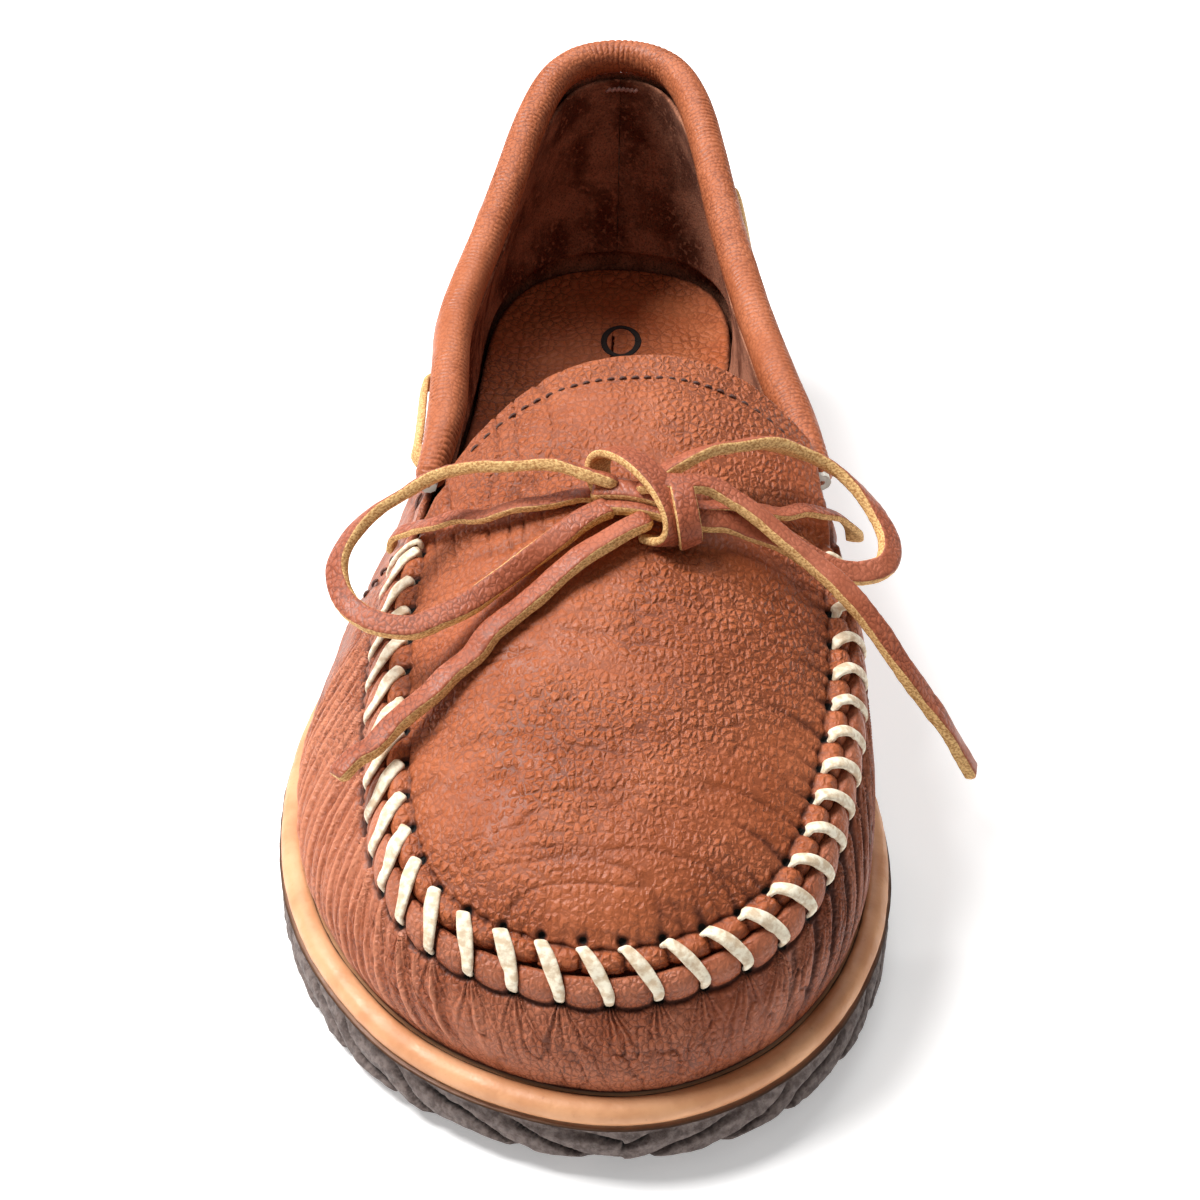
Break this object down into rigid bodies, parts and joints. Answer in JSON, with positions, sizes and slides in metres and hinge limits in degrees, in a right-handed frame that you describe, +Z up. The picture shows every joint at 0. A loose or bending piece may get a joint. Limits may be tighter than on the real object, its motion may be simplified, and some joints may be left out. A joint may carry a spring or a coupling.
{
  "type": "moccasin",
  "caption": "Right-foot leather moccasin with puckered, whip-stitched toe seam, free tongue, rolled collar, threaded bow lace and lugged rubber sole",
  "frame": {"origin": "on the floor, on the line through the middle of the heel, about 2 mm to the inner side of the middle of the sole's box", "axes": "+Z up, +Y from toe to heel, +X to the inner (medial) side of the foot"},
  "size_m": [0.1314, 0.296, 0.0839],
  "materials": {
    "outsole_rubber": "dark grey-brown moulded rubber, matt, with fine ribs",
    "midsole_tan": "tan crepe-like band, satin, slightly mottled",
    "insole_board": "pressed fibre board",
    "foam": "open foam",
    "sock_leather": "pebbled brown leather, satin",
    "mark_ink": "dark printed ring",
    "upper_leather": "pebbled red-brown leather, soft sheen",
    "collar_leather": "smooth red-brown leather with fine cross wrinkles",
    "lining_suede": "dark brown suede, matt and napped",
    "brown_thread": "waxed thread",
    "pale_thread": "pale thread",
    "cream_lace": "cream flat waxed lace",
    "lace_leather": "two-tone rawhide lace: brown grain, tan flesh side and edges"
  },
  "bodies": {
    "shoe": {"outsole": "outsole_rubber", "midsole": "midsole_tan", "insole_board": "insole_board", "footbed_foam": "foam", "sock_lining": "sock_leather", "sock_mark": "mark_ink", "vamp_wall": "upper_leather", "quarter_medial": "upper_leather", "quarter_lateral": "upper_leather", "heel_strip": "upper_leather", "heel_counter": "insole_board", "lining_medial": "lining_suede", "lining_lateral": "lining_suede", "side_seam_stitches": "brown_thread", "heel_strip_stitches": "brown_thread", "collar_binding": "collar_leather", "collar_foam": "foam", "collar_stitches": "brown_thread", "heel_bartack": "pale_thread", "plug": "upper_leather", "whip_stitches": "cream_lace", "lace_run_medial": "lace_leather", "lace_run_lateral": "lace_leather", "lace_lead_medial": "lace_leather", "lace_lead_lateral": "lace_leather", "lace_knot": "lace_leather", "lace_loop_medial": "lace_leather", "lace_loop_lateral": "lace_leather", "lace_tail_medial": "lace_leather", "lace_tail_lateral": "lace_leather"},
    "tongue": {"tongue": "upper_leather", "tongue_lining": "lining_suede", "tongue_stitches": "brown_thread"}
  },
  "joints": [
    {"name": "tongue_flex", "type": "hinge", "parent": "shoe", "child": "tongue", "pos_m": [0.008, -0.031, 0.0734], "axis": [1, 0, 0], "range_deg": [0, 20], "stiffness_Nm_per_rad": 0.02}
  ]
}
